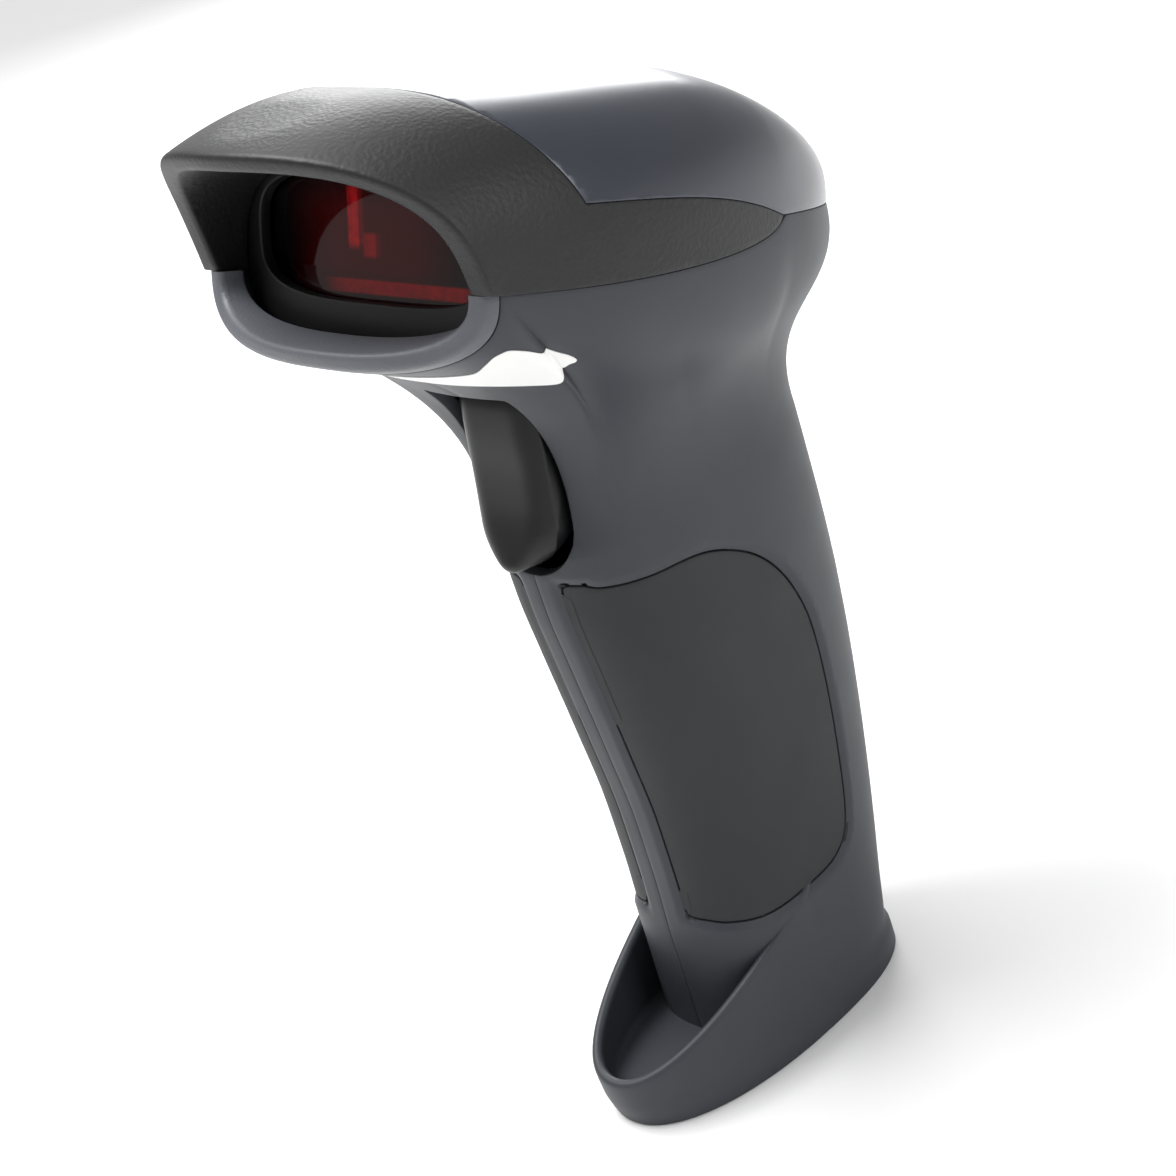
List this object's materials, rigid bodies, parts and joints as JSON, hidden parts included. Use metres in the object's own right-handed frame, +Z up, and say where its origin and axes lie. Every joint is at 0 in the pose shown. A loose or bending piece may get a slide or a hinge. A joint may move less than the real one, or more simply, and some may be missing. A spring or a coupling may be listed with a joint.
{
  "type": "handheld barcode scanner",
  "caption": "Cordless handheld laser barcode scanner with a hooded mouth, dark red window, trigger and a flared foot it stands on.",
  "frame": {"origin": "centre of the data port's opening, in the plane of the foot's flat underside", "axes": "+X to the scanner's right-hand side as seen from behind the window, -Y the way the window looks, +Z up along the handle"},
  "size_m": [0.068, 0.0943, 0.1687],
  "materials": {
    "shell": "fine satin, blue-grey",
    "hood": "fine leather-like grain, black",
    "cover": "smooth satin, blue-grey",
    "lip": "fine grain, blue-grey",
    "grip": "soft matt",
    "black": "matt black",
    "trigger": "satin black",
    "window": "clear dark red",
    "lens": "clear red",
    "label": "satin white, blank",
    "steel": "plain",
    "brass": "turned",
    "board": "solder mask",
    "chips": "matt",
    "ivory": "moulded",
    "mirror": "polished",
    "copper": "wound",
    "foam": "foam",
    "frame": "die cast",
    "cell": "shrink sleeve over the cell",
    "contact": "plated",
    "ribbon": "film"
  },
  "bodies": {
    "case": {"shell_right": "shell", "shell_left": "shell", "hood": "hood", "top_cover": "cover", "mouth_lip": "lip", "window_bezel": "black", "window": "window", "window_gasket": "foam", "grip_right": "grip", "grip_left": "grip", "base_plate": "black", "trigger_pin": "steel", "trigger_spring": "steel", "switch_body": "chips", "switch_board": "board", "engine_frame": "frame", "laser_barrel": "brass", "laser_diode": "steel", "mirror_pin": "steel", "mirror_coil": "copper", "collecting_lens": "lens", "detector_board": "board", "main_board": "board", "board_chips": "chips", "board_connectors": "ivory", "beeper": "chips", "battery_cell": "cell", "battery_holder": "black", "battery_contacts": "contact", "harness": "ribbon", "port_board": "board", "data_jack": "black", "label": "label", "case_screws": "steel", "engine_screws": "steel", "board_screws": "steel", "base_screws": "steel"},
    "trigger": {"trigger": "trigger"},
    "mirror": {"scan_mirror": "mirror"},
    "plunger": {"switch_plunger": "ivory"}
  },
  "joints": [
    {"name": "trigger_pull", "type": "hinge", "parent": "case", "child": "trigger", "pos_m": [0, 0.0015, 0.1165], "axis": [1, 0, 0], "range_deg": [0, 5.5], "stiffness_Nm_per_rad": 0.4, "springref_deg": -2.86, "deforming": ["trigger_spring"]},
    {"name": "mirror_swing", "type": "hinge", "parent": "case", "child": "mirror", "pos_m": [0.0042, 0.00406, 0.1345], "axis": [0, 0.3584, 0.9336], "range_deg": [-10, 10], "stiffness_Nm_per_rad": 0.0004},
    {"name": "plunger_press", "type": "slide", "parent": "case", "child": "plunger", "axis": [0, 1, 0], "range_m": [0, 0.0007]}
  ],
  "couplings": [
    {"joint": "plunger_press", "follows": "trigger_pull", "m_per_rad": 0.00625}
  ]
}
